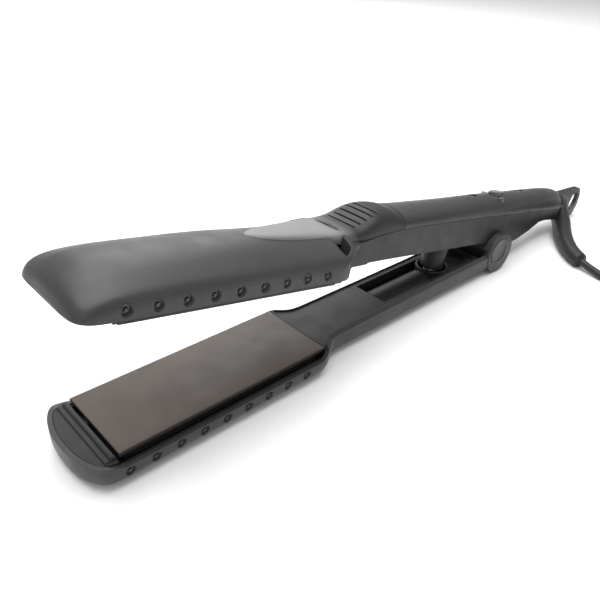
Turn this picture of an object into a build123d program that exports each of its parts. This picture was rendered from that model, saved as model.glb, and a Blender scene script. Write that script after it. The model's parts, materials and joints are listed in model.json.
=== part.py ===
from build123d import *
import math
import os

# Salon flat iron. The arm frame has x = 0 at the front edge of the heating plates, +X towards the
# hinge and the cord, z = 0 where the closed plates meet. All lengths are in millimetres.

# Driving dimensions
PLATE_LENGTH = 100.0
PLATE_WIDTH = 38.0
HEAD_HALF = 22.5            # half the width of a head
TIP_X = -13.4
REST_Z = -14.0              # underside of the lower arm
HINGE_X = 245.0
OPEN_ANGLE = 12.1           # between the arms at rest
PLATE_FLOAT = 0.8           # how far a plate can be pressed into its casing
BUTTON_TRAVEL = 0.5
RUNNING = 0.05              # radial clearance of a pin in its bore
WALL = 2.0

# Lower arm
LOWER_HALF = 14.5           # half-width of the handle
UNDERSIDE_RADIUS = 8.5
EAR_CENTRE = (246.6, -2.0)
EAR_RADIUS = 11.9
CAP_RADIUS = 7.9            # trim cap over each end of the hinge pin
EAR_INNER = 10.3            # inner face of each hinge ear
EAR_OUTER = 15.0
CHANNEL = (151.0, 228.0)    # open channel in the handle
CHANNEL_HALF = 9.5
POST_X = 202.0
POST_TOP = 4.0
POST_RADIUS = 6.4
COLLAR_X = 201.4
SCREWS_LOWER = (112.0, 142.0)

# Upper arm
HANDLE_START = 109.0
HEAD_END = 4.0              # how much longer the upper head is than the lower one
UPPER_TIP_X = -15.6
COVER_START = 150.0
HANDLE_END = 323.0
SWIVEL_Z = 21.0
KNUCKLE_HALF = 9.9
KNUCKLE_RADIUS = 9.0
PIN_RADIUS = 3.0
BUSH_RADIUS = 4.5
SCREW_UPPER = 166.0
SCREW_FLOOR = 4.6           # outside of the handle's floor at that screw
BUTTONS = {"power_button": (247.0, 0.0), "temperature_up_button": (245.0, 5.6),
           "temperature_down_button": (245.0, -5.6)}
BUTTON_TOP = {"power_button": 31.0, "temperature_up_button": 28.9, "temperature_down_button": 28.9}
BUTTON_FOOT = 24.0
WINDOW_X = (223.0, 275.0)

# Vents: nine along each side of each head
VENT_COUNT = 9
LOWER_VENTS = (2.2, 10.6, -7.2)   # the first vent's x, the pitch and z
UPPER_VENTS = (0.7, 11.25, 6.7)
VENT_RADIUS = 2.25

# Swivel, strain relief and cord
TAB_THICKNESS = 2.6
HANGING_HOLE = (357.8, 21.6)
SHAFT_RADIUS = 5.0
CORD_RADIUS = 2.25
RELIEF_ROUTE = [
    (337.0, -2.0, -2.6), (332.8, -7.5, -6.2), (325.0, -13.0, -7.9), (314.0, -20.0, -8.4),
    (302.8, -28.5, -8.6), (295.5, -36.0, -8.8), (291.5, -43.0, -9.2),
]
RELIEF_RADII = [6.0, 5.9, 5.7, 5.4, 5.1, 4.8, 4.7]
CORD_ROUTE = [
    (291.5, -43.0, -9.2), (287.8, -55.5, -11.2), (286.5, -69.5, -11.75), (291.5, -83.0, -11.75),
    (303.5, -92.5, -11.75), (319.0, -98.0, -11.75), (338.0, -99.4, -11.75), (360.0, -98.2, -11.75),
    (380.0, -95.8, -11.75), (395.0, -93.2, -11.75),
]
COIL_CENTRE = (400.0, -58.0)
COIL_INNER = 18.0
COIL_OUTER = 37.5
COIL_BOTTOM = -13.4
COIL_TOP = 4.0
PLUG_START = (436.0, -93.25, -6.05)
TAIL_LENGTH = 28.0

CORD_NODES = ("strain_relief", "power_cord", "cord_coil", "cord_tie", "cord_tail", "plug_body",
              "plug_blades")


def block(x0, x1, y0, y1, z0, z1):
    """A box between two corners."""
    return Pos((x0 + x1) / 2, (y0 + y1) / 2, (z0 + z1) / 2) * Box(x1 - x0, y1 - y0, z1 - z0)


def rod_x(x0, x1, y, z, radius):
    """A round bar along X."""
    return Pos((x0 + x1) / 2, y, z) * Rot(0, 90, 0) * Cylinder(radius, x1 - x0)


def rod_y(x, z, y0, y1, radius):
    """A round bar along Y."""
    return Pos(x, (y0 + y1) / 2, z) * Rot(90, 0, 0) * Cylinder(radius, y1 - y0)


def rod_z(x, y, z0, z1, radius):
    """A round bar along Z."""
    return Pos(x, y, (z0 + z1) / 2) * Cylinder(radius, z1 - z0)


def from_above(points, z0, z1):
    """A closed polygon of (x, y) points raised from z0 to z1."""
    return Pos(0, 0, z0) * extrude(Polygon(*points, align=None), amount=z1 - z0)


def from_side(points, half):
    """A closed polygon of (x, z) points, as thick as 2 * half along Y."""
    face = Plane.XZ * Polygon(*points, align=None)
    return extrude(face, amount=half, both=True)


def both_sides(part):
    """The part and its mirror image across the middle plane."""
    return [part, mirror(part, about=Plane.XZ)]


TIP = [(TIP_X, 0), (-12.3, 11.0), (-8.6, 19.4), (0, HEAD_HALF)]
SHOULDER = [(96, HEAD_HALF), (102, 20.5), (106.5, 16.9)]


def inward(points, inset, start, end):
    """The points of a line moved inwards by inset, where start and end are its end directions."""
    ways = [start] + [(c[0] - a[0], c[1] - a[1]) for a, c in zip(points, points[2:])] + [end]
    moved = []
    for (x, y), (wx, wy) in zip(points, ways):
        scale = inset / math.hypot(wx, wy)
        moved.append((x + scale * wy, y - scale * wx))
    return moved


def plan(rear, inset=0.0, longer=0.0):
    """A head's outline seen from above, with the handle behind it as half-widths in rear."""
    tip = inward(TIP, inset, (0, 1), (1, 0))
    shoulder = [(x + longer, y) for x, y in SHOULDER]
    shoulder = inward(shoulder + [rear[0]], inset, (1, 0), (1, 0))
    rails = [(x, y - inset) for x, y in rear]
    with BuildSketch() as sketch:
        with BuildLine():
            Spline(*tip, tangents=((0, 1), (1, 0)))
            Line(tip[-1], shoulder[0])
            Spline(*shoulder, tangents=((1, 0), (1, 0)))
            Polyline(*rails)
            Line(rails[-1], (rails[-1][0], 0))
            mirror(about=Plane.XZ)
        make_face()
    return sketch.sketch


LOWER_REAR = [(118, LOWER_HALF), (190, 14.2), (228, 14.5), (262, 14.5)]
UPPER_REAR = [(118, 13.9), (126, 13.3), (150, 12.2), (175, 11.4), (202, 10.7), (228, KNUCKLE_HALF)]
UPPER_REAR += [(250, KNUCKLE_HALF), (270, 9.5), (295, 9.1), (HANDLE_END, 8.4)]


def lower_tray(inset):
    """The lower arm's form below its rim, rounded underneath, or the same form made smaller all round."""
    body = Pos(0, 0, REST_Z + inset) * extrude(plan(LOWER_REAR, inset), amount=-REST_Z)
    return fillet(body.faces().sort_by(Axis.Z)[0].edges(), UNDERSIDE_RADIUS - inset)


def lower_outside():
    """The lower arm's outer form: rounded underneath, chamfered along the handle, round at the hinge."""
    body = chamfer(lower_tray(0).faces().sort_by(Axis.Z)[-1].edges(), 1.7)
    edge_line = [(-20, -2.2), (-6, -2.2), (2, -4.4), (96, -4.4), (101.5, -2.0), (103, 0.5), (103, 9)]
    body -= from_side(edge_line + [(-20, 9)], 40)
    body -= block(HINGE_X, 300, -30, 30, -20, 20)
    for ear in both_sides(rod_y(*EAR_CENTRE, EAR_INNER, EAR_OUTER, EAR_RADIUS)):
        body += fillet(ear.edges().sort_by(Axis.Y)[-1 if ear.center().Y > 0 else 0], 0.8)
    return body


def lower_cover():
    """The lower arm's tray: side walls, floor and the two hinge ears."""
    body = lower_outside()
    body -= lower_tray(WALL) & block(-20, 236, -30, 30, -20, 20)
    body -= block(235, 262, -EAR_INNER, EAR_INNER, REST_Z + WALL, 30)
    for x, y, z in vent_places(-1):
        body -= rod_y(x, z, *sorted((0.8 * y, 1.05 * y)), VENT_RADIUS)
    for recess in both_sides(rod_y(HINGE_X, 0, 13.8, 16, CAP_RADIUS + 0.1)):
        body -= recess
    body -= rod_y(HINGE_X, 0, -16, 16, PIN_RADIUS)
    for x in SCREWS_LOWER:
        body -= rod_z(x, 0, -15, -11, 1.6) + rod_z(x, 0, -15, -12.8, 3.0)
    return body


def vent_places(side):
    """Centres of the vents of one head, on its side walls."""
    first, pitch, z = LOWER_VENTS if side < 0 else UPPER_VENTS
    return [(first + i * pitch, y, z) for i in range(VENT_COUNT) for y in (-HEAD_HALF, HEAD_HALF)]


def vent_rings(side):
    """Eighteen grommets, one in each vent, each with a boss in the middle of a ring-shaped groove."""
    edge = VENT_RADIUS - 0.03
    profile = [(0, 0.5), (0.7, 0.6), (0.95, 1.3), (1.6, 1.3), (1.95, 0.35), (edge, 0.3), (edge, 2.0), (0, 2.0)]
    ring = revolve(Plane.XZ * Polygon(*profile, align=None), Axis.Z)
    rings = []
    for x, y, z in vent_places(side):
        turn = Rot(90, 0, 0) if y > 0 else Rot(-90, 0, 0)
        rings.append(Pos(x, y, z) * turn * ring)
    return rings


def tip_bar(top):
    """The rounded double bar across the head in front of a plate, with its highest face at z = top."""
    bar = block(-3.4, -0.9, -18.6, 18.6, top - 3.2, top)
    bar = fillet(bar.faces().sort_by(Axis.Z)[-1].edges(), 0.9)
    ledge = block(-5.6, -3.0, -18.9, 18.9, top - 3.2, top - 0.9)
    return bar + fillet(ledge.faces().sort_by(Axis.Z)[-1].edges(), 0.6)


def lower_frame():
    """The deck inside the lower tray: tip land, plate pocket, neck land and the channel's walls."""
    inner = lower_tray(WALL + 0.15)
    deck = block(-20, -0.9, -30, 30, -4.2, -2.2) + tip_bar(-0.7)
    neck = block(100.9, 229.4, -30, 30, -2.9, -0.9)
    deck += neck - block(*CHANNEL, -CHANNEL_HALF, CHANNEL_HALF, -9, 9)
    for wall in both_sides(block(-2.4, 102.3, 19.3, 20.0, REST_Z, -4.6)):
        deck += wall
    deck += block(-2.4, -0.9, -19.5, 19.5, REST_Z, -2.5)
    deck += block(100.9, 102.3, -19.5, 19.5, REST_Z, -1.5)
    for strip in both_sides(block(-2.4, 102.3, 10.0, 14.0, REST_Z, -11.0)):
        deck += strip
    for wall in both_sides(block(149.8, 229.4, CHANNEL_HALF, 10.9, REST_Z, -1.5)):
        deck += wall
    deck += block(149.8, CHANNEL[0], -CHANNEL_HALF, CHANNEL_HALF, REST_Z, -1.5)
    for x in SCREWS_LOWER:
        deck += rod_z(x, 0, REST_Z + WALL, -1.5, 3.2)
        deck -= rod_z(x, 0, -15, -5, 1.4)
    return deck & inner


def plate(side):
    """An extruded aluminium heating plate with the two rails that hold its heater."""
    half = PLATE_WIDTH / 2
    top = block(0, PLATE_LENGTH, -half, half, -1.3, 0)
    top = fillet(top.faces().sort_by(Axis.Z)[-1].edges(), 0.4)
    slab = top + block(0.4, PLATE_LENGTH - 0.4, -half + 0.5, half - 0.5, -2.8, -1.3)
    for rail in both_sides(block(6, 94, 9, 10.5, -5.2, -2.8)):
        slab += rail
    return slab if side < 0 else mirror(slab, about=Plane.XY)


def heater(side):
    """A ceramic heater strip between the plate's rails, with two contact tabs."""
    strip = block(14, 86, -8.0, 8.0, -4.2, -2.8)
    for y in (-5.5, 3.5):
        strip += block(86, 92, y, y + 2.0, -3.8, -3.2)
    return strip if side < 0 else mirror(strip, about=Plane.XY)


def carrier(side):
    """The moulded carrier under a plate, with a cup over each cushion."""
    tray = block(2.5, 97.5, -17, 17, -6.8, -5.2)
    for x in (20, 80):
        tray += rod_z(x, 0, -8.6, -6.8, 6.0)
        tray -= rod_z(x, 0, -8.6, -7.0, 4.2)
    return tray if side < 0 else mirror(tray, about=Plane.XY)


def cushions(side, floor):
    """Two silicone cushions that push a plate outwards."""
    pads = []
    for x in (20, 80):
        profile = [(0, floor), (5.0, floor), (5.0, floor + 1.0), (3.2, (floor - 8.0) / 2), (4.0, -8.6),
                   (4.0, -7.9), (0, -7.9)]
        pad = Pos(x, 0, 0) * revolve(Plane.XZ * Polygon(*profile, align=None), Axis.Z)
        pads.append(pad if side < 0 else mirror(pad, about=Plane.XY))
    return pads


def wire_cover():
    """The domed cover over the wires in the channel."""
    dome = fillet(rod_x(151.6, 192.0, 0, -10.9, 9.1).edges().sort_by(Axis.X)[0], 2.5)
    dome -= rod_x(152.8, 193, 0, -10.9, 7.9)
    return dome & lower_tray(WALL + 0.15)


def spring_collar():
    """The round collar that the spring post drops into."""
    collar = rod_z(COLLAR_X, 0, REST_Z + WALL, -0.6, 9.2) - rod_z(COLLAR_X, 0, REST_Z + WALL, 0, 7.7)
    return chamfer(collar.faces().sort_by(Axis.Z)[-1].edges(), 0.4) & lower_tray(WALL + 0.15)


def leads(x0, x1, z):
    """Two insulated wires between x0 and x1."""
    return [rod_x(x0, x1, y, z, 0.9) for y in (-5.0, 5.0)]


def hinge_caps():
    """A dished trim cap over each end of the hinge pin."""
    rim = CAP_RADIUS
    profile = [(0, 13.8), (rim, 13.8), (rim, 15.1), (rim - 0.3, 15.4), (rim - 1.2, 15.4), (rim - 1.6, 14.9),
               (4.2, 14.5), (0, 14.3)]
    cap = revolve(Plane.XZ * Polygon(*profile, align=None), Axis.Z)
    return [Pos(HINGE_X, 0, 0) * Rot(-90, 0, 0) * cap, Pos(HINGE_X, 0, 0) * Rot(90, 0, 0) * cap]


def screws(places, head_z, up):
    """Countersunk screws driven in from below."""
    found = []
    for x in places:
        screw = rod_z(x, 0, head_z, head_z + up, 1.4) + rod_z(x, 0, head_z, head_z + 1.1, 2.8)
        found.append(screw - block(x - 2, x + 2, -0.3, 0.3, head_z - 1, head_z + 0.5))
    return found


# Sections of the upper head: x, half-width and height, and the section's shape as shares of both
HEAD_SECTIONS = [(UPPER_TIP_X, 14.0, 4.6), (-14.9, 17.6, 7.6), (-13.2, 20.3, 10.4), (-10.4, 21.8, 12.7),
                 (-6.0, 22.4, 14.7), (0, HEAD_HALF, 16.1), (9, HEAD_HALF, 17.1), (24, HEAD_HALF, 17.8),
                 (60, HEAD_HALF, 18.4), (96, HEAD_HALF, 19.1), (125, HEAD_HALF, 19.7)]
HEAD_SHAPE = [(1.0, 0), (1.0, 0.22), (0.985, 0.48), (0.93, 0.63), (0.756, 0.775), (0.5, 0.905), (0.25, 0.975)]


def head_section(x, half, top):
    """A section across the upper head at x: upright sides, rounded shoulders and a low crown."""
    right = [(half * side, top * height) for side, height in HEAD_SHAPE]
    left = [(-y, z) for y, z in reversed(right)]
    with BuildSketch(Plane.YZ.offset(x)) as sketch:
        with BuildLine():
            Spline(*right, (0, top), *left)
            Line((-half, 0), (half, 0))
        make_face()
    return sketch.sketch


def upper_head_form(inset):
    """The upper head's outer form, or the same form made smaller all round."""
    form = loft([head_section(x + inset if x < 0 else x, half - inset, top - inset)
                 for x, half, top in HEAD_SECTIONS])
    column = extrude(plan(UPPER_REAR, inset, HEAD_END), amount=40)
    column += block(-20, 20, inset - HEAD_HALF, HEAD_HALF - inset, 0, 40)
    return form & column & block(-20, HANDLE_START - inset, -40, 40, 0, 40)


def upper_head_shell(rest):
    """The upper casing: open below, with the vents in its walls and a gap for the thumb rest."""
    form = upper_head_form(0)
    shell = form - upper_head_form(WALL) - block(-20, 120, -30, 30, -1, 3.4)
    for x, y, z in vent_places(1):
        shell -= rod_y(x, z, *sorted((0.8 * y, 1.05 * y)), VENT_RADIUS)
    shell -= block(104.5, 114, -12.0, 12.0, 3, 14.5)
    return shell - rest


def upper_frame():
    """The deck inside the upper casing: tip land, plate pocket, neck land and rear bridge."""
    deck = block(-20, -0.9, -30, 30, 2.2, 3.8) + mirror(tip_bar(-1.9), about=Plane.XY)
    deck += block(100.9, 105.5, -30, 30, 1.4, 3.4)
    for wall in both_sides(block(-2.4, 105.5, 19.5, 20.2, 1.4, 9.8)):
        deck += wall
    deck += block(-2.4, -0.9, -19.8, 19.8, 2.5, 10.5)
    deck += block(100.9, 102.3, -19.8, 19.8, 1.4, 11.8)
    deck += block(-2.4, 102.3, -14.1, 14.1, 11.8, 12.8)
    for step in both_sides(block(-2.4, 102.3, 13.3, 20.2, 9.0, 9.8) + block(-2.4, 102.3, 13.3, 14.1, 9.0, 12.0)):
        deck += step
    return deck & upper_head_form(WALL + 0.15)


# Sections of the thumb rest and the handle cover: x, half-width, top, power of the arch and foot
REST_SECTIONS = [(62, 0.5, 18.6, 4, 14.6), (64, 2.6, 18.9, 4, 14.6), (68, 4.6, 19.1, 5, 14.6),
                 (76, 6.6, 19.3, 6, 14.6), (90, 8.8, 19.5, 6, 14.6), (105, 11.0, 19.7, 6, 14.8),
                 (113, 12.2, 20.0, 5, 15.1), (118, 12.8, 20.7, 4.4, 15.6), (123, 13.0, 22.9, 3.8, 16.2),
                 (128, 13.0, 25.4, 3.4, 17.0), (133, 12.8, 26.9, 3.1, 17.7), (138, 12.6, 27.4, 2.8, 18.2),
                 (144, 12.4, 27.0, 2.5, 18.7), (COVER_START, 12.2, 26.3, 2.3, 19.1)]
COVER_SECTIONS = [(COVER_START, 12.2, 26.3, 2.3, 19.1), (158, 11.9, 26.4, 2.2, 19.4),
                  (174, 11.4, 27.0, 2.1, 19.6), (200, 10.7, 28.0, 2, 19.8), (228, 9.9, 29.4, 2, 19.9),
                  (252, 9.8, 30.1, 2, 20.0), (276, 9.4, 30.8, 2, 20.0), (302, 9.0, 31.4, 2, 20.0),
                  (316, 8.6, 31.0, 2, 20.0), (HANDLE_END, 8.2, 30.0, 2, 20.0)]


def arch(x, half, top, power, foot, inset=0.0):
    """A section across the handle at x, standing on the seam: an arch between an oval and a box."""
    wide, tall = half - inset, top - foot - inset
    points = []
    for step in range(13):
        turn = math.pi * step / 12
        c, t = math.cos(turn), math.sin(turn)
        y = math.copysign(wide * abs(c) ** (2 / power), c)
        points.append((y, foot + tall * t ** (2 / power)))
    with BuildSketch(Plane.YZ.offset(x)) as sketch:
        with BuildLine():
            Spline(*points)
            Line(points[-1], points[0])
        make_face()
    return sketch.sketch


def thumb_rest():
    """The glossy tongue on the head that rises to a ribbed thumb bump over the neck."""
    body = loft([arch(*section) for section in REST_SECTIONS])
    for i in range(5):
        x = 117.5 + 3.4 * i
        body -= Pos(x, 0, rest_height(x)) * Rot(0, -24, 0) * Box(0.9, 16.5, 1.6)
    return body


def rest_height(x):
    """Height of the thumb rest's top line at x."""
    for (x0, _, z0, *_), (x1, _, z1, *_) in zip(REST_SECTIONS, REST_SECTIONS[1:]):
        if x0 <= x <= x1:
            return z0 + (z1 - z0) * (x - x0) / (x1 - x0)
    return REST_SECTIONS[-1][2]


BASE_BOTTOM = [(HANDLE_START, 4.4), (126, 4.4), (126.6, 5.0), (180, 4.4), (238, 3.8), (256, 1.8), (266, 1.4),
               (274, 3.2), (286, 7.4), (297, 12.4), (304, 13.2), (HANDLE_END, 12.8)]


def handle_base():
    """The handle's lower half: its flanks and floor, the hinge knuckle and the swivel's end wall."""
    seam = [(x, foot - 0.1) for x, *_, foot in COVER_SECTIONS[::-1] + REST_SECTIONS[-2:5:-1]]
    column = extrude(plan(UPPER_REAR, 0, HEAD_END), amount=40) & block(HANDLE_START, HANDLE_END, -40, 40, 0, 40)
    body = column & from_side(BASE_BOTTOM + seam + [(HANDLE_START, 14.8)], 40)
    inner = extrude(plan(UPPER_REAR, WALL, HEAD_END), amount=40)
    floor = [(90, 6.4)] + [(x, z + WALL) for x, z in BASE_BOTTOM[1:-1]] + [(318, 14.5), (318, 30), (90, 30)]
    body -= inner & from_side(floor, 40)
    body += rod_y(HINGE_X, 0, -KNUCKLE_HALF, KNUCKLE_HALF, KNUCKLE_RADIUS)
    body += block(HINGE_X - 8.5, HINGE_X + 8.5, -KNUCKLE_HALF, KNUCKLE_HALF, 0, 5.5)
    body -= rod_y(HINGE_X, 0, -20, 20, BUSH_RADIUS)
    body -= rod_x(310, 330, 0, SWIVEL_Z, 6.0)
    body -= rod_z(POST_X, 0, 0, 8, 3.6)
    body -= rod_z(SCREW_UPPER, 0, SCREW_FLOOR - 2, SCREW_FLOOR + 3, 1.6)
    return body - rod_z(SCREW_UPPER, 0, SCREW_FLOOR - 2, SCREW_FLOOR + 1.1, 3.0)


def handle_cover():
    """The handle's domed top, open below, with holes for the buttons and windows."""
    outer = loft([arch(*section) for section in COVER_SECTIONS])
    inner = loft([arch(*section, WALL) for section in COVER_SECTIONS])
    body = outer - (inner & block(COVER_START + WALL, 318, -20, 20, 0, 40))
    for x, y in BUTTONS.values():
        body -= button_shaft(x, y, 0.25, BUTTON_FOOT - 3, 40)
    for x in WINDOW_X:
        body -= window_shape(x, 0.0, 20, 40)
    body -= rod_x(310, 330, 0, SWIVEL_Z, 6.0)
    body += rod_z(SCREW_UPPER, 0, SCREW_FLOOR + 2.2, 25.0, 3.2)
    return body - rod_z(SCREW_UPPER, 0, 0, 16, 1.4)


def button_shaft(x, y, grow, bottom, top):
    """The part of a button that shows: a long oval for power, a round one for each temperature step."""
    if y == 0:
        oval = Ellipse(6.6 + grow, 3.0 + grow)
    else:
        oval = Circle(1.8 + grow)
    return Pos(x, y, bottom) * extrude(oval, amount=top - bottom)


def button(name):
    """A push button with a flange that keeps it under the cover."""
    x, y = BUTTONS[name]
    top = button_shaft(x, y, 0, BUTTON_FOOT, BUTTON_TOP[name])
    top = fillet(top.faces().sort_by(Axis.Z)[-1].edges(), 0.7)
    if y == 0:
        top += Pos(x, y, BUTTON_FOOT) * extrude(Ellipse(7.4, 3.6), amount=1.0)
    return top


def window_shape(x, shrink, z0, z1):
    """A long oval indicator window."""
    return Pos(x, 0, z0) * extrude(SlotOverall(7.0 - shrink, 2.6 - shrink), amount=z1 - z0)


def indicator_windows():
    """Two smoked windows over the indicator lights."""
    return [window_shape(x, 0.06, top - 2.4, top - 0.4) for x, top in zip(WINDOW_X, (29.2, 30.8))]


def circuit_board():
    """The control board with a switch under each button and two indicator lights."""
    board = block(208, 290, -6.2, 6.2, 20.2, 21.8)
    for x, y in BUTTONS.values():
        board += block(x - 2, x + 2, y - 1.2, y + 1.2, 21.8, 23.4)
    for x in WINDOW_X:
        board += rod_z(x, 0, 21.8, 25.8, 1.2)
    return board


def spring_post():
    """The hollow post under the handle that holds the arm spring."""
    tube = rod_z(POST_X, 0, -10.2, POST_TOP, POST_RADIUS) + rod_z(POST_X, 0, POST_TOP, 8.0, 3.55)
    return tube - rod_z(POST_X, 0, -11, POST_TOP - 1, 5.0)


def arm_spring():
    """The coil spring that opens the arms, drawn at its rest length."""
    pitch, turns = 3.2, 7
    wire = Wire([Edge.make_helix(pitch, pitch * turns, 3.9)])
    ring = Plane(origin=wire @ 0, z_dir=wire % 0) * Circle(0.5)
    return Pos(POST_X, 0, POST_TOP - 1.6 - pitch * turns) * sweep(ring, path=wire)


def hinge_bushes():
    """Two plain bushes that the hinge pin turns in."""
    return both_sides(rod_y(HINGE_X, 0, 6, KNUCKLE_HALF, BUSH_RADIUS)
                      - rod_y(HINGE_X, 0, 5, 13, PIN_RADIUS + RUNNING))


def swivel_socket():
    """The bush in the handle's end that the cord swivel turns in."""
    tube = rod_x(317, 323, 0, SWIVEL_Z, 6.0) + rod_x(323, 325.5, 0, SWIVEL_Z, 7.6)
    return tube - rod_x(316, 326, 0, SWIVEL_Z, SHAFT_RADIUS + RUNNING)


def swivel_shaft():
    """The swivel's shaft."""
    return rod_x(312.5, 329, 0, SWIVEL_Z, SHAFT_RADIUS) - rod_x(312, 329, 0, SWIVEL_Z, 2.6)


def swivel_retainer():
    """The clip that keeps the swivel's shaft in the handle."""
    return rod_x(313.5, 315.2, 0, SWIVEL_Z, 5.6) - rod_x(313, 316, 0, SWIVEL_Z, SHAFT_RADIUS)


def swivel_end():
    """The swivel's rounded outer end, still solid."""
    end = rod_x(326, 342, 0, SWIVEL_Z - 2.5, 6.4)
    return fillet(end.edges().sort_by(Axis.X)[-1], 3.5) + rod_x(326, 329, 0, SWIVEL_Z, 7.8)


def hanging_loop():
    """The swivel's outer end, with the flat loop that the iron hangs by."""
    end = swivel_end() - rod_x(320, 329, 0, SWIVEL_Z, SHAFT_RADIUS)
    tab = from_side([(329.2, 28.6), (356, 31.6), (362.5, 30.6), (366.2, 25.5), (366.9, 18.5), (365.4, 13.4),
                     (361.5, 10.2), (350, 10.5), (338, 12)], TAB_THICKNESS / 2)
    corners = tab.edges().filter_by(Axis.Y).sort_by(Axis.X)[-5:]
    tab = fillet(corners, 2.0)
    tab = fillet(tab.faces().filter_by(Axis.Y).edges(), 0.4)
    hole = Plane.XZ * Pos(*HANGING_HOLE) * Rot(0, 0, -14) * Ellipse(4.7, 6.6)
    return end + tab - extrude(hole, amount=6, both=True)


def tangents(points):
    """A direction at each point of a route, the mean of the runs on its two sides."""
    ways = [(Vector(*b) - Vector(*a)).normalized() for a, b in zip(points, points[1:])]
    mids = [(a + b).normalized() for a, b in zip(ways, ways[1:])]
    return [ways[0]] + mids + [ways[-1]]


def strain_relief():
    """The tapered sleeve on the cord, bent down to the surface that the iron lies on."""
    ways = tangents(RELIEF_ROUTE)[:-1] + tangents(CORD_ROUTE)[:1]
    rings = [Plane(origin=point, z_dir=way) * Circle(radius)
             for point, way, radius in zip(RELIEF_ROUTE, ways, RELIEF_RADII)]
    end = Pos(HINGE_X, 0, 0) * Rot(0, OPEN_ANGLE, 0) * Pos(-HINGE_X, 0, 0) * swivel_end()
    return loft(rings) - end


def cord_path():
    """The loose cord's middle line: straight runs joined by arcs as large as the runs allow."""
    radii = []
    for a, b, c in zip(CORD_ROUTE, CORD_ROUTE[1:], CORD_ROUTE[2:]):
        before, after = Vector(*b) - Vector(*a), Vector(*c) - Vector(*b)
        turn = math.radians(before.get_angle(after))
        radii.append(0.45 * min(before.length, after.length) / math.tan(turn / 2))
    print("cord radii", [round(r, 1) for r in radii])
    return FilletPolyline(*CORD_ROUTE, radius=radii)


def power_cord():
    """The cord from the strain relief to its coil."""
    path = cord_path()
    tube = sweep(Plane(origin=path @ 0, z_dir=path % 0) * Circle(CORD_RADIUS), path=path)
    print("cord volume", round(tube.volume), "of", round(math.pi * CORD_RADIUS ** 2 * path.length))
    return tube


def cord_coil():
    """The outer form of the coiled length."""
    x, y = COIL_CENTRE
    ring = rod_z(x, y, COIL_BOTTOM, COIL_TOP, COIL_OUTER) - rod_z(x, y, -20, 20, COIL_INNER)
    return fillet(ring.edges(), 3.0)


def cord_tie():
    """The strap round the coil."""
    x, y = COIL_CENTRE
    outside = block(x + 16.8, x + 38.3, y - 4, y + 4, REST_Z, 4.6)
    inside = block(x + 17.4, x + 37.7, y - 6, y + 6, COIL_BOTTOM, COIL_TOP)
    return outside - inside


def lay(part, upper, middle):
    """Puts a part of either arm at its place at rest, standing on the ground."""
    if upper:
        part = Pos(HINGE_X, 0, 0) * Rot(0, OPEN_ANGLE, 0) * Pos(-HINGE_X, 0, 0) * part
    return Pos(-middle, 0, -REST_Z) * part


def cord_tail():
    """The short end of the cord from the coil to the plug."""
    x, y, z = PLUG_START
    return rod_x(x - TAIL_LENGTH, x, y, z, CORD_RADIUS)


def plug_body():
    """The moulded two-pin plug with its tapered sleeve."""
    x, y, z = PLUG_START
    sleeve = Plane(origin=PLUG_START, z_dir=(1, 0, 0))
    cone = loft([sleeve * Circle(3.2), sleeve.offset(12) * Circle(4.4)])
    grip = Pos(x + 23, y, z) * Box(24, 22, 15.9)
    return cone + fillet(grip.edges(), 3.0)


def plug_blades():
    """The plug's two flat blades."""
    x, y, z = PLUG_START
    return [block(x + 35, x + 51, y + side - 0.75, y + side + 0.75, z - 3.1, z + 3.1)
            for side in (-6.35, 6.35)]


def build_all():
    """Every node, as (shape or list of solids, True for a part of the upper arm)."""
    rest = thumb_rest()
    upper = {
        "upper_head_shell": upper_head_shell(rest), "upper_frame": upper_frame(), "upper_plate": plate(1),
        "upper_heater": heater(1), "upper_carrier": carrier(1), "upper_cushions": cushions(1, -11.8),
        "upper_vent_rings": vent_rings(1), "thumb_rest": rest, "handle_base": handle_base(),
        "handle_cover": handle_cover(), "circuit_board": circuit_board(),
        "indicator_windows": indicator_windows(), "spring_post": spring_post(), "arm_spring": arm_spring(),
        "hinge_bushes": hinge_bushes(), "upper_leads": leads(108, 196, 10.0),
        "upper_screws": screws((SCREW_UPPER,), SCREW_FLOOR, 11),
        "swivel_socket": swivel_socket(), "swivel_shaft": swivel_shaft(),
        "swivel_retainer": swivel_retainer(), "hanging_loop": hanging_loop(),
    }
    upper.update({name: button(name) for name in BUTTONS})
    lower = {
        "lower_cover": lower_cover(), "lower_frame": lower_frame(), "lower_plate": plate(-1),
        "lower_heater": heater(-1), "lower_carrier": carrier(-1), "lower_cushions": cushions(-1, -12.0),
        "lower_vent_rings": vent_rings(-1), "wire_cover": wire_cover(), "spring_collar": spring_collar(),
        "lower_leads": leads(104, 149, -9), "lower_screws": screws(SCREWS_LOWER, -13.9, 7),
        "hinge_pin": rod_y(HINGE_X, 0, -13.8, 13.8, PIN_RADIUS), "hinge_caps": hinge_caps(),
        "strain_relief": strain_relief(), "power_cord": power_cord(), "cord_coil": cord_coil(),
        "cord_tie": cord_tie(), "cord_tail": cord_tail(), "plug_body": plug_body(),
        "plug_blades": plug_blades(),
    }
    return {name: (part, True) for name, part in upper.items()} | {
        name: (part, False) for name, part in lower.items()}


def write_all():
    """Stands the iron on the ground, centred on its length without the cord, and writes each node."""
    os.makedirs("parts", exist_ok=True)
    nodes = {}
    for name, (part, upper) in build_all().items():
        pieces = part if isinstance(part, list) else [part]
        nodes[name] = Compound(children=[s for p in pieces for s in lay(p, upper, 0).solids()])
    boxes = [part.bounding_box() for name, part in nodes.items() if name not in CORD_NODES]
    middle = (min(b.min.X for b in boxes) + max(b.max.X for b in boxes)) / 2
    print("arm frame's x = 0 lies at", round(-middle, 3))
    for name, part in nodes.items():
        export_step(Pos(-middle, 0, 0) * part, f"parts/{name}.step")


write_all()
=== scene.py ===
import json
import math

import bmesh
import bpy
from mathutils import Matrix, Vector


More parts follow.
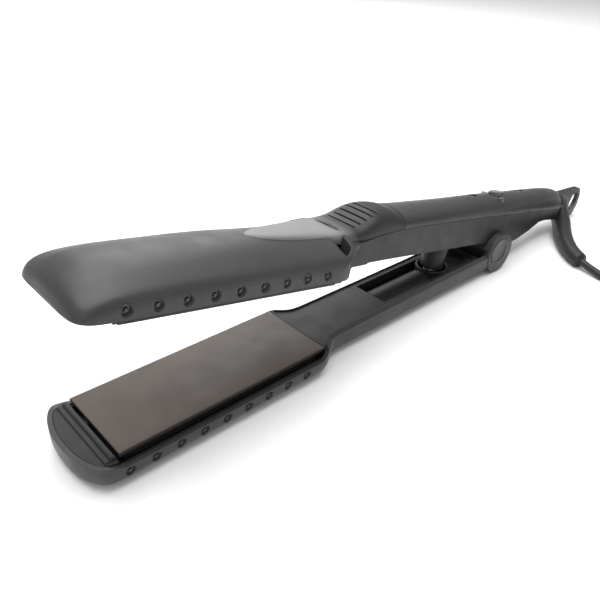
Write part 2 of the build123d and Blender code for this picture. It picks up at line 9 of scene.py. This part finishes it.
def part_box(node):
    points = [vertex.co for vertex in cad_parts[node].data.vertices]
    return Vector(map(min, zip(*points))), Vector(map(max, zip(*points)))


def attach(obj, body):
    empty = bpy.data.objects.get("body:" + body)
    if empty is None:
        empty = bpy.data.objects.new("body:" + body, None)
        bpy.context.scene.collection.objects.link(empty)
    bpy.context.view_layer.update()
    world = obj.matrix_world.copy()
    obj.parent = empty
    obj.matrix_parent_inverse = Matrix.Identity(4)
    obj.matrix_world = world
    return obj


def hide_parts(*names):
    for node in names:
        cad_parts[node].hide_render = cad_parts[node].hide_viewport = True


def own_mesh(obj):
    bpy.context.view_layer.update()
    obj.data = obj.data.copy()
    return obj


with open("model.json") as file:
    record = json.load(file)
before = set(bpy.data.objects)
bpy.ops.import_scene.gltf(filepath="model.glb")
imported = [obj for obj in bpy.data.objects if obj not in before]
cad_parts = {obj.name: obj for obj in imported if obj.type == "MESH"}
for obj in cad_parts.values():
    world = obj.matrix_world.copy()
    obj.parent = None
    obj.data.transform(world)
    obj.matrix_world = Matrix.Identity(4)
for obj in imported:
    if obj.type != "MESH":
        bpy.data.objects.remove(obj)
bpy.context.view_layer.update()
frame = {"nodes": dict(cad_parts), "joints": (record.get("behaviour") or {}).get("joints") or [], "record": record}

MM = 0.001

# The arm frame of the design: x = 0 at the plates' front edge, z = 0 where the closed plates meet
PLATE_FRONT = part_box("lower_plate")[0].x
PLATE_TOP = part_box("lower_plate")[1].z
JOINTS = {joint["name"]: joint for joint in frame["joints"]}
HINGE = Vector(JOINTS["arm_hinge"]["pos_m"])
SWIVEL_AXIS = Vector(JOINTS["cord_swivel_turn"]["axis"])
OPEN_ANGLE = math.atan2(-SWIVEL_AXIS.z, SWIVEL_AXIS.x)
RAISE = Matrix.Rotation(OPEN_ANGLE, 3, "Y")

CORD_RADIUS = 2.25
RELIEF_ROUTE = [
    (337.0, -2.0, -2.6), (332.8, -7.5, -6.2), (325.0, -13.0, -7.9), (314.0, -20.0, -8.4),
    (302.8, -28.5, -8.6), (295.5, -36.0, -8.8), (291.5, -43.0, -9.2),
]
RELIEF_RADII = [6.0, 5.9, 5.7, 5.4, 5.1, 4.8, 4.7]
CORD_ROUTE = [
    (291.5, -43.0, -9.2), (287.8, -55.5, -11.2), (286.5, -69.5, -11.75), (291.5, -83.0, -11.75),
    (303.5, -92.5, -11.75), (319.0, -98.0, -11.75), (338.0, -99.4, -11.75), (360.0, -98.2, -11.75),
    (380.0, -95.8, -11.75),
]
COIL_CENTRE = (400.0, -58.0)
COIL_START = -98            # degrees about the centre, from +X
COIL_OUTER_TURN = 35.2      # radius of the outermost turn's middle line
COIL_INNER_TURN = 21.4
COIL_FLOOR = -11.75         # height of the lowest layer's middle line
COIL_LAYER = 4.5            # from one layer to the next
COIL_LAYERS = 4
TURNS_IN_LAYER = 3
POINTS_PER_TURN = 24
STEP_UP_TURN = 0.25         # share of a turn in which the cord climbs to the next layer
CORD_TAIL = [
    (404.0, -93.2, 1.75), (411.0, -93.25, 1.6), (418.0, -93.25, -0.3), (425.0, -93.25, -3.6),
    (431.5, -93.25, -5.8), (438.0, -93.25, -6.05),
]
RELIEF_LIP = [(291.2, -43.6, -9.25), (291.0, -44.2, -9.3), (290.9, -44.5, -9.35)]
RELIEF_LIP_RADII = [4.3, 3.2, 2.3]
TUBE_SIDES = 6              # how finely a tube's section is rounded
RELIEF_STEPS = 10           # how finely the strain relief is divided along its length

# x, then the outer edge's half-width and height, the middle's, and the height at the inner edge
WEB_SECTIONS = [(108.4, 18.0, 14.6, 16.0, 16.7, 18.0), (111, 16.4, 14.7, 14.8, 16.2, 17.3),
                (114, 14.7, 15.0, 13.6, 15.7, 16.5), (118, 13.6, 15.4, 12.9, 15.6, 15.9)]
WEB_FOOT = 12.4
WEB_INNER = 11.4
WEB_ROUNDING = 0.4

CAMERA_PLACE = (-68.05, -176.04, 165.88)
CAMERA_YAW = 0.7678
CAMERA_PITCH = 0.554
CAMERA_ROLL = -0.0534
CAMERA_LENS = 38.55
SENSOR_WIDTH = 36

FLOOR_HALF = 4.0            # metres
FLOOR_COLOUR = (0.93, 0.93, 0.93, 1)
SURROUND_STRENGTH = 0.48

BROAD_PATCH = 26            # millimetres between patches of slightly different colour
GLOSS_PATCH = 9             # millimetres between patches of slightly different gloss
SPECK_RATIO = 1.6           # size of the colour's specks against the grain
BUMP_STRENGTH = 0.6
COAT_ROUGHNESS = 0.12
BEVEL_SAMPLES = 6


def low(x, y, z):
    """A point given in the lower arm's frame, in millimetres, as a place in the scene."""
    return Vector((PLATE_FRONT + x * MM, y * MM, PLATE_TOP + z * MM))


def high(x, y, z):
    """A point of the closed upper arm, in millimetres, as the place it has with the arms open."""
    return HINGE + RAISE @ (low(x, y, z) - HINGE)


# Camera, floor and light

def make_camera():
    """The camera, from its place and its yaw, pitch and roll."""
    forward = Vector((math.sin(CAMERA_YAW) * math.cos(CAMERA_PITCH),
                      math.cos(CAMERA_YAW) * math.cos(CAMERA_PITCH), -math.sin(CAMERA_PITCH)))
    level = Vector((math.cos(CAMERA_YAW), -math.sin(CAMERA_YAW), 0))
    under = forward.cross(level)
    right = level * math.cos(CAMERA_ROLL) + under * math.sin(CAMERA_ROLL)
    down = under * math.cos(CAMERA_ROLL) - level * math.sin(CAMERA_ROLL)
    data = bpy.data.cameras.new("camera")
    data.lens = CAMERA_LENS
    data.sensor_width = SENSOR_WIDTH
    data.clip_start = 0.01
    camera = bpy.data.objects.new("camera", data)
    turn = Matrix((right, -down, -forward)).transposed().to_4x4()
    camera.matrix_world = Matrix.Translation(low(*CAMERA_PLACE)) @ turn
    bpy.context.scene.collection.objects.link(camera)
    bpy.context.scene.camera = camera


def aim(obj, place, target):
    """Puts an object at a place, with its -Z towards a target."""
    way = Vector(target) - Vector(place)
    obj.location = place
    obj.rotation_euler = way.to_track_quat("-Z", "Y").to_euler()


def soft_light(name, place, size, power, target=(0, 0, 0.03)):
    """A large square softbox."""
    data = bpy.data.lights.new(name, "AREA")
    data.size = size
    data.energy = power
    light = bpy.data.objects.new(name, data)
    aim(light, place, target)
    bpy.context.scene.collection.objects.link(light)


def make_stage():
    """A plain pale floor, an even white surround and three softboxes, measured in metres."""
    mesh = bpy.data.meshes.new("floor")
    corners = [(-1, -1), (1, -1), (1, 1), (-1, 1)]
    mesh.from_pydata([(FLOOR_HALF * x, FLOOR_HALF * y, 0) for x, y in corners], [], [(0, 1, 2, 3)])
    floor = bpy.data.objects.new("floor", mesh)
    bpy.context.scene.collection.objects.link(floor)
    material = bpy.data.materials.new("floor_paper")
    material.use_nodes = True
    shader = material.node_tree.nodes["Principled BSDF"]
    shader.inputs["Base Color"].default_value = FLOOR_COLOUR
    shader.inputs["Roughness"].default_value = 0.9
    shader.inputs["Specular IOR Level"].default_value = 0.1
    mesh.materials.append(material)
    world = bpy.data.worlds.new("surround")
    world.use_nodes = True
    background = world.node_tree.nodes["Background"]
    background.inputs["Color"].default_value = (1, 1, 1, 1)
    background.inputs["Strength"].default_value = SURROUND_STRENGTH
    bpy.context.scene.world = world
    soft_light("top_box", (0.0, 0.2, 1.1), 1.3, 20)
    soft_light("left_box", (-0.9, -0.5, 0.7), 0.8, 1.5)
    soft_light("rear_box", (0.5, 0.9, 0.6), 0.7, 4)
    bpy.context.scene.view_settings.view_transform = "Standard"


# Materials

def node(tree, kind, **values):
    """A shader node with some of its inputs set by name."""
    made = tree.nodes.new(kind)
    for key, value in values.items():
        made.inputs[key.replace("_", " ")].default_value = value
    return made


def noise(tree, size, detail=2.0, stretch=(1, 1, 1)):
    """Noise whose features are about size millimetres, drawn out along an axis by stretch."""
    place = tree.nodes.new("ShaderNodeTexCoord")
    mapping = tree.nodes.new("ShaderNodeMapping")
    mapping.inputs["Scale"].default_value = stretch
    tree.links.new(place.outputs["Object"], mapping.inputs["Vector"])
    made = node(tree, "ShaderNodeTexNoise", Scale=1 / (size * MM), Detail=detail)
    tree.links.new(mapping.outputs["Vector"], made.inputs["Vector"])
    return made.outputs["Fac"]


def ranged(tree, source, low_value, high_value, start=0.35, end=0.65):
    """A source between start and end, drawn out to lie between two values."""
    made = node(tree, "ShaderNodeMapRange", From_Min=start, From_Max=end, To_Min=low_value, To_Max=high_value)
    tree.links.new(source, made.inputs["Value"])
    return made.outputs["Result"]


def mixed(tree, factor, first, second):
    """A colour between two colours or colour sockets."""
    made = tree.nodes.new("ShaderNodeMix")
    made.data_type = "RGBA"
    tree.links.new(factor, made.inputs["Factor"])
    for key, value in ((6, first), (7, second)):
        if isinstance(value, bpy.types.NodeSocket):
            tree.links.new(value, made.inputs[key])
        else:
            made.inputs[key].default_value = (*value, 1)
    return made.outputs[2]


def shade(colour, factor):
    """A colour made lighter or darker."""
    return tuple(min(1.0, channel * factor) for channel in colour)


def edge_mask(tree, radius):
    """The normal rounded over edges, and how far it turns from the face: 0 on a flat, 1 at an edge."""
    bevel = tree.nodes.new("ShaderNodeBevel")
    bevel.samples = BEVEL_SAMPLES
    bevel.inputs["Radius"].default_value = radius * MM
    flat = tree.nodes.new("ShaderNodeNewGeometry")
    dot = tree.nodes.new("ShaderNodeVectorMath")
    dot.operation = "DOT_PRODUCT"
    tree.links.new(bevel.outputs["Normal"], dot.inputs[0])
    tree.links.new(flat.outputs["Normal"], dot.inputs[1])
    return bevel.outputs["Normal"], ranged(tree, dot.outputs["Value"], 1.0, 0.0, 0.75, 0.99)


def facing_aside(tree):
    """0 where a surface faces up or down, 1 where it faces sideways."""
    place = tree.nodes.new("ShaderNodeTexCoord")
    parts = tree.nodes.new("ShaderNodeSeparateXYZ")
    tree.links.new(place.outputs["Normal"], parts.inputs["Vector"])
    upright = tree.nodes.new("ShaderNodeMath")
    upright.operation = "ABSOLUTE"
    tree.links.new(parts.outputs["Z"], upright.inputs[0])
    return ranged(tree, upright.outputs["Value"], 1.0, 0.0, 0.45, 0.85)


def along_x(tree, start, end):
    """0 up to one place along the scene's X, rising to 1 at the other."""
    place = tree.nodes.new("ShaderNodeTexCoord")
    parts = tree.nodes.new("ShaderNodeSeparateXYZ")
    tree.links.new(place.outputs["Object"], parts.inputs["Vector"])
    return ranged(tree, parts.outputs["X"], 0.0, 1.0, start, end)


def finish(name, colour, roughness, grain=0.35, depth=0.02, edge_light_factor=1.25, metallic=0.0, coat=0.0, specular=0.5,
           blotch=0.06, stretch=(1, 1, 1), edge=0.35, rough_spread=0.05, sheen=0.0, side_shade_colour=None, front_highlight=None):
    """A moulded, coated or metal surface: grain, uneven colour and gloss, and edges painted lighter as a painted
    highlight, or darker as painted shade where the edge factor is below 1.

    With a side shade colour given, the surface takes that colour where it faces sideways: painted shade on the
    sides. With a front highlight given as a colour and two places along the scene's X, it has that colour up to
    the first place and its own from the second: a painted highlight towards the front.
    """
    material = bpy.data.materials.new(name)
    material.use_nodes = True
    tree = material.node_tree
    shader = tree.nodes["Principled BSDF"]
    shader.inputs["Metallic"].default_value = metallic
    shader.inputs["Coat Weight"].default_value = coat
    shader.inputs["Coat Roughness"].default_value = COAT_ROUGHNESS
    shader.inputs["Specular IOR Level"].default_value = specular
    shader.inputs["Sheen Weight"].default_value = sheen
    normal, edges = edge_mask(tree, edge)
    broad = ranged(tree, noise(tree, BROAD_PATCH, 3), 0.0, 1.0)
    fine = ranged(tree, noise(tree, grain * SPECK_RATIO, 2, stretch), 0.0, 1.0)
    base = mixed(tree, broad, shade(colour, 1 - blotch), shade(colour, 1 + blotch))
    speck = mixed(tree, fine, shade(colour, 1 - blotch), shade(colour, 1 + blotch))
    both = tree.nodes.new("ShaderNodeMix")
    both.data_type = "RGBA"
    both.inputs["Factor"].default_value = 0.5
    tree.links.new(base, both.inputs[6])
    tree.links.new(speck, both.inputs[7])
    painted = both.outputs[2]
    # painted shade: the surface turns to the darker side colour where it faces sideways
    if side_shade_colour:
        painted = mixed(tree, facing_aside(tree), painted, side_shade_colour)
    # painted highlight: the surface is painted light grey up to a place along X, fading to its own colour behind
    # it
    if front_highlight:
        painted = mixed(tree, along_x(tree, front_highlight[1], front_highlight[2]), front_highlight[0], painted)
    # painted light on edges: lighter edges are a painted highlight, darker ones painted shade
    edge_lit_colour = mixed(tree, edges, painted, shade(colour, edge_light_factor))
    tree.links.new(edge_lit_colour, shader.inputs["Base Color"])
    uneven = ranged(tree, noise(tree, GLOSS_PATCH, 4), roughness - rough_spread, roughness + rough_spread)
    tree.links.new(uneven, shader.inputs["Roughness"])
    bump = tree.nodes.new("ShaderNodeBump")
    bump.inputs["Strength"].default_value = BUMP_STRENGTH
    bump.inputs["Distance"].default_value = depth * MM
    tree.links.new(noise(tree, grain, 3, stretch), bump.inputs["Height"])
    tree.links.new(normal, bump.inputs["Normal"])
    tree.links.new(bump.outputs["Normal"], shader.inputs["Normal"])
    return material


# Edges are painted lighter as a painted highlight, except on the plate, whose edges take painted shade.
FINISHES = {
    "head_casing": finish("head_plastic", (0.038, 0.038, 0.039), 0.42, specular=0.35),
    "inner_casing": finish("inner_plastic", (0.02, 0.02, 0.0205), 0.45, specular=0.28),
    # painted shade: the handle's sides are painted darker than its top
    "handle_casing": finish("handle_plastic", (0.034, 0.034, 0.035), 0.36, specular=0.45,
                            side_shade_colour=(0.014, 0.014, 0.0145)),
    # painted highlight: the thumb rest's front is painted light grey, fading to its dark colour towards the bump
    "thumb_casing": finish("thumb_plastic", (0.022, 0.022, 0.023), 0.45, depth=0.006, specular=0.25,
                           front_highlight=((0.21, 0.21, 0.213), high(104, 0, 19).x, high(116, 0, 20).x)),
    "trim_plastic": finish("trim_plastic", (0.03, 0.03, 0.031), 0.36),
    # painted shade: the plate's sides are painted darker, and its edges take painted shade as well (edge factor
    # 0.5)
    "plate_coating": finish("plate_coating", (0.082, 0.062, 0.049), 0.38, grain=0.5, depth=0.002,
                            stretch=(0.15, 1, 1), edge_light_factor=0.5, specular=0.3, blotch=0.04,
                            side_shade_colour=(0.016, 0.012, 0.01)),
    "ceramic": finish("ceramic", (0.8, 0.78, 0.72), 0.6),
    "carrier_plastic": finish("carrier_plastic", (0.02, 0.019, 0.018), 0.55),
    "silicone": finish("silicone", (0.36, 0.09, 0.06), 0.6),
    "board": finish("board", (0.03, 0.13, 0.05), 0.4),
    "button_plastic": finish("button_plastic", (0.04, 0.04, 0.042), 0.25, depth=0.004, coat=0.4),
    "window": finish("window", (0.012, 0.012, 0.013), 0.12, depth=0.001, coat=0.5),
    "spring_steel": finish("spring_steel", (0.5, 0.5, 0.5), 0.3, metallic=1.0, depth=0.002),
    "steel": finish("steel", (0.5, 0.5, 0.51), 0.3, metallic=1.0, depth=0.002),
    "bush_metal": finish("bush_metal", (0.6, 0.45, 0.22), 0.35, metallic=1.0, depth=0.002),
    "wire": finish("wire", (0.55, 0.55, 0.52), 0.6),
    "swivel_plastic": finish("swivel_plastic", (0.02, 0.02, 0.021), 0.38, specular=0.35),
    "cord_rubber": finish("cord_rubber", (0.016, 0.016, 0.017), 0.5, edge=0.1, specular=0.35),
    "strap": finish("strap", (0.015, 0.015, 0.015), 0.85, grain=0.6, depth=0.15, sheen=0.4),
    "plug_plastic": finish("plug_plastic", (0.018, 0.018, 0.019), 0.45),
    "blade_metal": finish("blade_metal", (0.6, 0.55, 0.4), 0.28, metallic=1.0, depth=0.002),
}


def paint_nodes():
    """Gives each CAD node the finish of its material slot."""
    slots = {part["node"]: part["material_slot"] for part in frame["record"]["subparts"]}
    for name, obj in frame["nodes"].items():
        obj.data.materials.clear()
        obj.data.materials.append(FINISHES[slots[name]])


# Arm spring

def make_spring_squash():
    """Gives the arm spring a mesh of its own, not shared with other objects."""
    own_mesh(frame["nodes"]["arm_spring"])


# Shoulders behind the upper head

def make_shoulder_webs():
    """The sloping web on each side between the upper head's rear and the thumb rest."""
    verts = []
    faces = []
    for side in (-1, 1):
        first = len(verts)
        for x, edge, edge_z, middle, middle_z, inner_z in WEB_SECTIONS:
            ring = [(WEB_INNER, WEB_FOOT), (edge, WEB_FOOT), (edge, edge_z), (middle, middle_z),
                    (WEB_INNER, inner_z)]
            verts += [high(x, side * y, z) for y, z in ring]
        count = len(ring)
        for row in range(len(WEB_SECTIONS) - 1):
            for i in range(count):
                a = first + row * count + i
                b = first + row * count + (i + 1) % count
                faces.append((a, b, b + count, a + count))
        last = first + (len(WEB_SECTIONS) - 1) * count
        faces.append(tuple(range(first + count - 1, first - 1, -1)))
        faces.append(tuple(range(last, last + count)))
    mesh = bpy.data.meshes.new("shoulder_webs")
    mesh.from_pydata(verts, [], faces)
    shape = bmesh.new()
    shape.from_mesh(mesh)
    bmesh.ops.recalc_face_normals(shape, faces=shape.faces)
    shape.to_mesh(mesh)
    shape.free()
    mesh.materials.append(FINISHES["head_casing"])
    webs = bpy.data.objects.new("shoulder_webs", mesh)
    bpy.context.scene.collection.objects.link(webs)
    rounding = webs.modifiers.new("rounding", "BEVEL")
    rounding.width = WEB_ROUNDING * MM
    rounding.segments = 3
    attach(webs, "upper_arm")


# Cord

def coil_points():
    """The coiled length: flat layers wound inwards and outwards in turn."""
    centre_x, centre_y = COIL_CENTRE
    points = []
    start = math.radians(COIL_START)
    turned = 0.0
    for layer in range(COIL_LAYERS):
        first, last = COIL_OUTER_TURN, COIL_INNER_TURN
        if layer % 2:
            first, last = last, first
        steps = TURNS_IN_LAYER * POINTS_PER_TURN
        for step in range(steps):
            radius = first + (last - first) * step / steps
            points.append((radius, turned, COIL_FLOOR + layer * COIL_LAYER))
            turned += 1 / POINTS_PER_TURN
        if layer < COIL_LAYERS - 1:
            climb = int(STEP_UP_TURN * POINTS_PER_TURN)
            for step in range(climb):
                points.append((last, turned, COIL_FLOOR + (layer + (step + 0.5) / climb) * COIL_LAYER))
                turned += 1 / POINTS_PER_TURN
    placed = []
    for radius, turned, z in points:
        angle = start + 2 * math.pi * turned
        placed.append((centre_x + radius * math.cos(angle), centre_y + radius * math.sin(angle), z))
    return placed


def tube(name, points, radii, material, resolution=6):
    """A round tube along one NURBS spline that a list of places draws, with a radius at each."""
    curve = bpy.data.curves.new(name, "CURVE")
    curve.dimensions = "3D"
    curve.bevel_depth = MM
    curve.bevel_resolution = TUBE_SIDES
    curve.use_fill_caps = True
    curve.resolution_u = resolution
    spline = curve.splines.new("NURBS")
    spline.points.add(len(points) - 1)
    for point, place, radius in zip(spline.points, points, radii):
        point.co = (*place, 1)
        point.radius = radius
    spline.order_u = 3
    spline.use_endpoint_u = True
    curve.materials.append(material)
    obj = bpy.data.objects.new(name, curve)
    bpy.context.scene.collection.objects.link(obj)
    return obj


def make_cord():
    """The cord with its coil and its end towards the plug, and the strain relief on it."""
    coil = coil_points()
    route = [low(*point) for point in CORD_ROUTE + coil + CORD_TAIL]
    cord = tube("power_lead", route, [CORD_RADIUS] * len(route), FINISHES["cord_rubber"])
    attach(cord, "cord_swivel")
    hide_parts("power_cord", "cord_coil", "cord_tail")
    path = [low(*point) for point in RELIEF_ROUTE + RELIEF_LIP]
    radii = RELIEF_RADII + RELIEF_LIP_RADII
    relief = tube("relief_sleeve", path, radii, FINISHES["cord_rubber"], RELIEF_STEPS)
    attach(relief, "cord_swivel")
    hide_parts("strain_relief")


make_camera()
make_stage()
make_cord()
make_shoulder_webs()
paint_nodes()
make_spring_squash()
